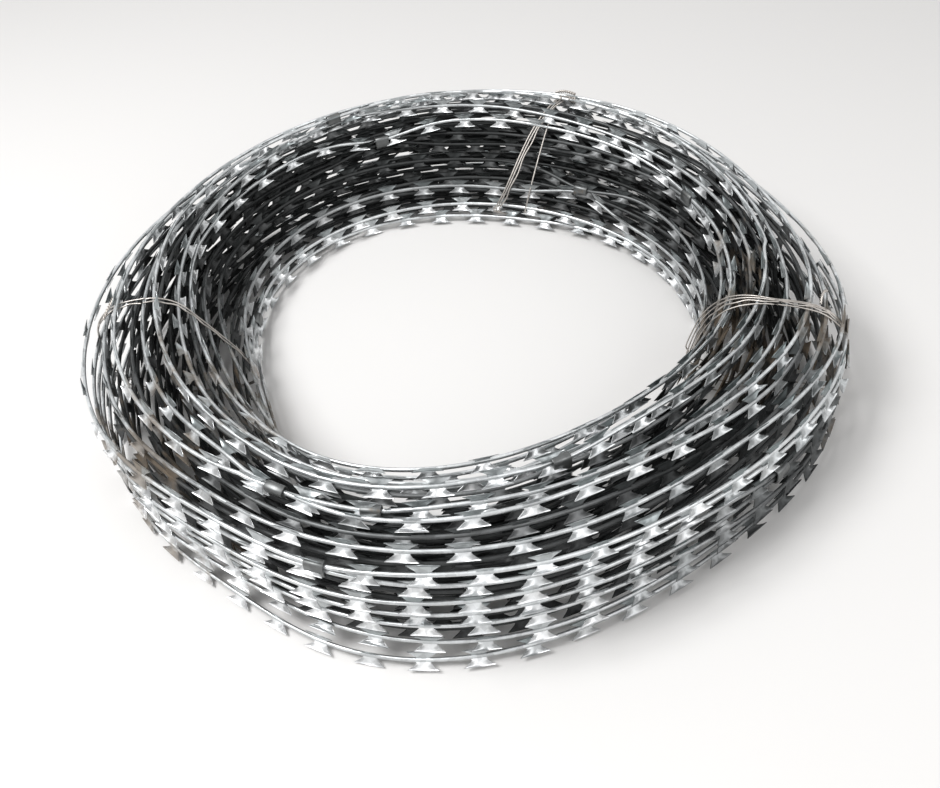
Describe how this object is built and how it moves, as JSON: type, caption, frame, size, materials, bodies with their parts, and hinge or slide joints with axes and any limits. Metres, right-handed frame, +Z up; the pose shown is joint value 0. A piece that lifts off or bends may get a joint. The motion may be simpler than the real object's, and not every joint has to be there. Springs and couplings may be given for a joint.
{
  "type": "concertina razor wire coil",
  "caption": "Closed coil of galvanised razor wire: packed turns of barbed tape round an open eye, pinched by clips and held by tie wires, with a lower turn sprung out.",
  "frame": {"origin": "middle of the part's footprint, at floor level; the coil's axis stands 6 mm towards +Y of it, because the sprung turn reaches out at -Y", "axes": "+Z up along the coil's axis, -Y towards the side where the lowest turn has sprung out, +X towards the tie with the heaviest wire"},
  "size_m": [0.53, 0.5412, 0.1105],
  "materials": {
    "galvanised_tape": "hot-dip galvanised, bright with dull dirty patches",
    "clip_steel": "galvanised strip, scuffed",
    "tie_steel": "annealed wire, dull with light rust"
  },
  "bodies": {
    "root": {"coil": "galvanised_tape", "clips": "clip_steel", "tie_wire_right": "tie_steel", "tie_wire_rear": "tie_steel", "tie_wire_left": "tie_steel"}
  },
  "joints": []
}
